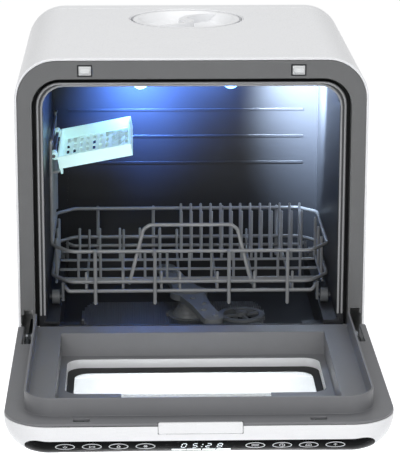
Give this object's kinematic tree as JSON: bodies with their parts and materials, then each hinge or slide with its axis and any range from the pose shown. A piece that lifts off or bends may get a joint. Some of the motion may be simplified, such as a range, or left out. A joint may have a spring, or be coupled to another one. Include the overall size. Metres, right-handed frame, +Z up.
{
  "type": "countertop_dishwasher",
  "caption": "Countertop dishwasher with a drop-down windowed door, a rolling wire rack, a cutlery tray and a top filling cap for its own tank.",
  "frame": {"origin": "middle of the whole with the door open, on the surface it stands on", "axes": "+X across, +Y to the back, +Z up"},
  "size_m": [0.42, 0.7624, 0.435],
  "materials": {
    "white_plastic": "smooth moulded",
    "grey_plastic": "satin moulded",
    "black_plastic": "satin moulded",
    "tub_plastic": "smooth moulded",
    "rubber": "matte",
    "steel": "brushed",
    "dark_steel": "black zinc",
    "coated_wire": "dipped nylon coat",
    "glass": "toughened",
    "black_glass": "polished",
    "clear_plastic": "translucent",
    "board": "solder resist",
    "pump_plastic": "moulded",
    "hose_rubber": "extruded"
  },
  "bodies": {
    "cabinet": {"outer_shell": "white_plastic", "rear_cover": "white_plastic", "base_pan": "black_plastic", "rubber_feet": "rubber", "plinth_panel": "white_plastic", "front_frame": "grey_plastic", "tub": "tub_plastic", "tub_gasket": "rubber", "water_tank": "clear_plastic", "filling_well": "white_plastic", "sump": "black_plastic", "spray_hub": "grey_plastic", "filter_plate": "steel", "wash_pump": "black_plastic", "drain_pump": "pump_plastic", "heater": "steel", "water_hoses": "hose_rubber", "inlet_valve": "white_plastic", "drain_outlet": "black_plastic", "cord_inlet": "black_plastic", "power_board": "board", "lamp_lenses": "clear_plastic", "catch_housings": "black_plastic", "catch_spring_left": "steel", "catch_spring_right": "steel", "hinge_bracket_left": "dark_steel", "hinge_bracket_right": "dark_steel", "cabinet_screws": "steel"},
    "door": {"door_skin": "white_plastic", "door_liner": "grey_plastic", "window_surround": "grey_plastic", "window_glass": "glass", "window_gasket": "rubber", "control_panel": "black_glass", "touch_board": "board", "display_module": "black_glass", "grip": "white_plastic", "latch_keepers": "steel", "hinge_arm_left": "dark_steel", "hinge_arm_right": "dark_steel", "hinge_spring_left": "dark_steel", "hinge_spring_right": "dark_steel"},
    "dish_rack": {"rack_frame": "coated_wire", "rack_base": "coated_wire", "rack_floor": "coated_wire", "rack_arch": "coated_wire", "rack_tines": "coated_wire", "tray_stand": "coated_wire", "roller_axles": "coated_wire"},
    "roller_fl": {"roller_front_left": "grey_plastic"},
    "roller_fr": {"roller_front_right": "grey_plastic"},
    "roller_rl": {"roller_rear_left": "grey_plastic"},
    "roller_rr": {"roller_rear_right": "grey_plastic"},
    "tray": {"cutlery_tray": "clear_plastic"},
    "spray_rotor": {"spray_arm": "grey_plastic"},
    "cup": {"filter_cup": "grey_plastic"},
    "well_seal": {"cap_seal": "rubber"},
    "cap": {"filling_cap": "white_plastic"},
    "catch_l": {"catch_left": "steel"},
    "catch_r": {"catch_right": "steel"}
  },
  "joints": [
    {"name": "door_hinge", "type": "hinge", "parent": "cabinet", "child": "door", "pos_m": [0, -0.04245, 0.095], "axis": [-1, 0, 0], "range_deg": [0, 90], "deforming": ["hinge_spring_left", "hinge_spring_right"]},
    {"name": "rack_slide", "type": "slide", "parent": "cabinet", "child": "dish_rack", "axis": [0, 1, 0], "range_m": [-0.24, 0]},
    {"name": "roller_fl_turn", "type": "hinge", "parent": "dish_rack", "child": "roller_fl", "pos_m": [-0.167, 0.05025, 0.1205], "axis": [1, 0, 0], "range_deg": [0, 1540]},
    {"name": "roller_fr_turn", "type": "hinge", "parent": "dish_rack", "child": "roller_fr", "pos_m": [0.167, 0.05025, 0.1205], "axis": [1, 0, 0], "range_deg": [0, 1540]},
    {"name": "roller_rl_turn", "type": "hinge", "parent": "dish_rack", "child": "roller_rl", "pos_m": [-0.167, 0.23825, 0.1205], "axis": [1, 0, 0], "range_deg": [0, 1540]},
    {"name": "roller_rr_turn", "type": "hinge", "parent": "dish_rack", "child": "roller_rr", "pos_m": [0.167, 0.23825, 0.1205], "axis": [1, 0, 0], "range_deg": [0, 1540]},
    {"name": "tray_fold", "type": "hinge", "parent": "dish_rack", "child": "tray", "pos_m": [-0.1681, 0.15525, 0.2932], "axis": [0, -1, 0], "range_deg": [0, 70]},
    {"name": "arm_spin", "type": "hinge", "parent": "cabinet", "child": "spray_rotor", "pos_m": [0, 0.12525, 0.1], "axis": [0, 0, 1], "continuous": true},
    {"name": "cup_lift", "type": "slide", "parent": "cabinet", "child": "cup", "axis": [0, 0, 1], "range_m": [0, 0.035]},
    {"name": "cap_lift", "type": "slide", "parent": "cabinet", "child": "well_seal", "axis": [0, 0, 1], "range_m": [0, 0.06]},
    {"name": "cap_turn", "type": "hinge", "parent": "well_seal", "child": "cap", "pos_m": [0, 0.25225, 0.426], "axis": [0, 0, 1], "range_deg": [0, 60]},
    {"name": "catch_l_press", "type": "slide", "parent": "cabinet", "child": "catch_l", "axis": [0, 1, 0], "range_m": [0, 0.004], "stiffness_N_per_m": 500, "springref_m": -0.004, "deforming": ["catch_spring_left"]},
    {"name": "catch_r_press", "type": "slide", "parent": "cabinet", "child": "catch_r", "axis": [0, 1, 0], "range_m": [0, 0.004], "stiffness_N_per_m": 500, "springref_m": -0.004, "deforming": ["catch_spring_right"]}
  ],
  "couplings": [
    {"joint": "roller_fl_turn", "follows": "rack_slide", "rad_per_m": -111.11},
    {"joint": "roller_fr_turn", "follows": "rack_slide", "rad_per_m": -111.11},
    {"joint": "roller_rl_turn", "follows": "rack_slide", "rad_per_m": -111.11},
    {"joint": "roller_rr_turn", "follows": "rack_slide", "rad_per_m": -111.11}
  ]
}
